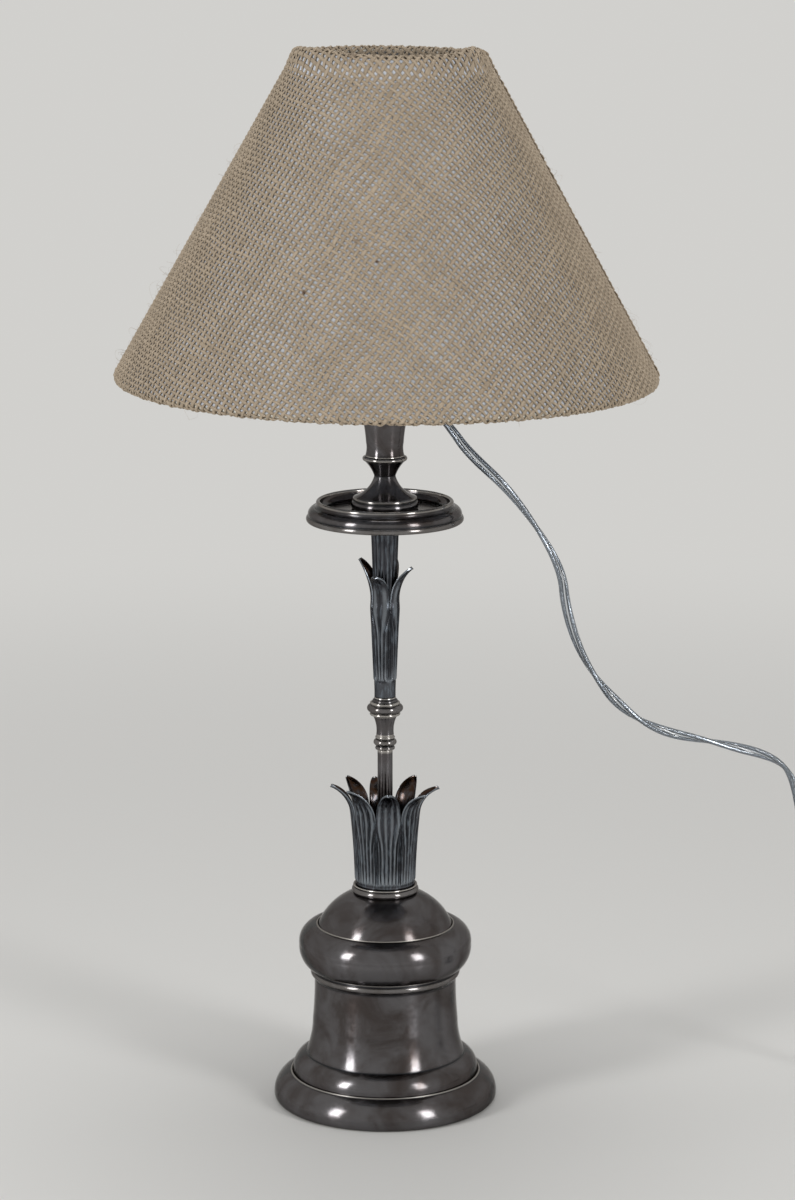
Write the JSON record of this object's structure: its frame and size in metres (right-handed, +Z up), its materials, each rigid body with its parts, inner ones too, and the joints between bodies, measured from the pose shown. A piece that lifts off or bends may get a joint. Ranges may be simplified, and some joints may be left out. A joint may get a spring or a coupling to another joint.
{
  "type": "candlestick lamp",
  "caption": "Silver-plated candlestick turned into a table lamp: leaf cups, drip tray, tilting jute shade on a gimbal, push-bar switch, clear flex and mains plug.",
  "frame": {"origin": "middle of the foot's resting face, on the table", "axes": "+Z up along the column, -Y is the front that the picture shows, +X is the side the cord leaves from"},
  "size_m": [0.5139, 0.3008, 0.587],
  "materials": {
    "silver_plate": "silver plated, polished, tarnished",
    "lacquered_brass": "lacquered",
    "nickel_brass": "nickel plated",
    "steel": "zinc plated",
    "white_steel": "white powder coat",
    "plaster": "cast plaster",
    "baize": "felt",
    "rubber": "satin",
    "phenolic": "moulded",
    "clear_pvc": "clear over tinned wire",
    "plug_plastic": "moulded",
    "bulb_glass": "clear",
    "filament": "coated",
    "lining": "satin cloth",
    "jute": "open plain weave"
  },
  "bodies": {
    "root": {"foot_ring": "silver_plate", "drum_shell": "silver_plate", "shoulder_ring": "silver_plate", "dome_cap": "silver_plate", "leaf_collar": "silver_plate", "lower_leaf_cup": "silver_plate", "lower_stem": "silver_plate", "lower_knop": "silver_plate", "neck_spool": "silver_plate", "upper_knop": "silver_plate", "upper_leaf_cup": "silver_plate", "fluted_stem": "silver_plate", "drip_tray": "silver_plate", "nozzle_foot": "silver_plate", "candle_nozzle": "silver_plate", "tie_rod": "steel", "tie_rod_nut": "steel", "tie_rod_washer": "steel", "base_weight": "plaster", "base_plate": "steel", "baize_pad": "baize", "candle_bung": "rubber", "bung_screw": "steel", "outlet_body": "lacquered_brass", "cord_relief": "clear_pvc", "threaded_nipple": "lacquered_brass", "holder_cap": "lacquered_brass", "holder_shell": "lacquered_brass", "holder_core": "phenolic", "screw_shell": "lacquered_brass", "centre_contact": "lacquered_brass", "terminal_screws": "steel", "holder_wires": "clear_pvc", "ring_nut": "lacquered_brass", "cord_drop": "clear_pvc", "cord_coil": "clear_pvc", "cord_tail": "clear_pvc", "plug_body": "plug_plastic", "plug_pins": "nickel_brass"},
    "fitter": {"fitter_ring": "white_steel", "gimbal_pins": "steel"},
    "shade": {"gimbal_ring": "white_steel", "shade_arms": "white_steel", "shade_top_wire": "white_steel", "shade_bottom_wire": "white_steel", "shade_lining": "lining", "shade_fabric": "jute"},
    "switch": {"switch_bar": "phenolic"},
    "bulb": {"bulb_cap": "nickel_brass", "bulb_insulator": "phenolic", "bulb_contact": "steel", "bulb_glass": "bulb_glass", "bulb_stem": "bulb_glass", "bulb_filaments": "filament"}
  },
  "joints": [
    {"name": "shade_swivel", "type": "hinge", "parent": "root", "child": "fitter", "pos_m": [0, 0, 0.44], "axis": [0, 0, 1], "continuous": true},
    {"name": "shade_tilt", "type": "hinge", "parent": "fitter", "child": "shade", "pos_m": [0, 0, 0.44], "axis": [1, 0, 0], "range_deg": [-6, 6]},
    {"name": "switch_push", "type": "slide", "parent": "root", "child": "switch", "axis": [0, 1, 0], "range_m": [0, 0.006]},
    {"name": "bulb_turn", "type": "hinge", "parent": "root", "child": "bulb", "pos_m": [0, 0, 0.46], "axis": [0, 0, 1], "continuous": true}
  ]
}
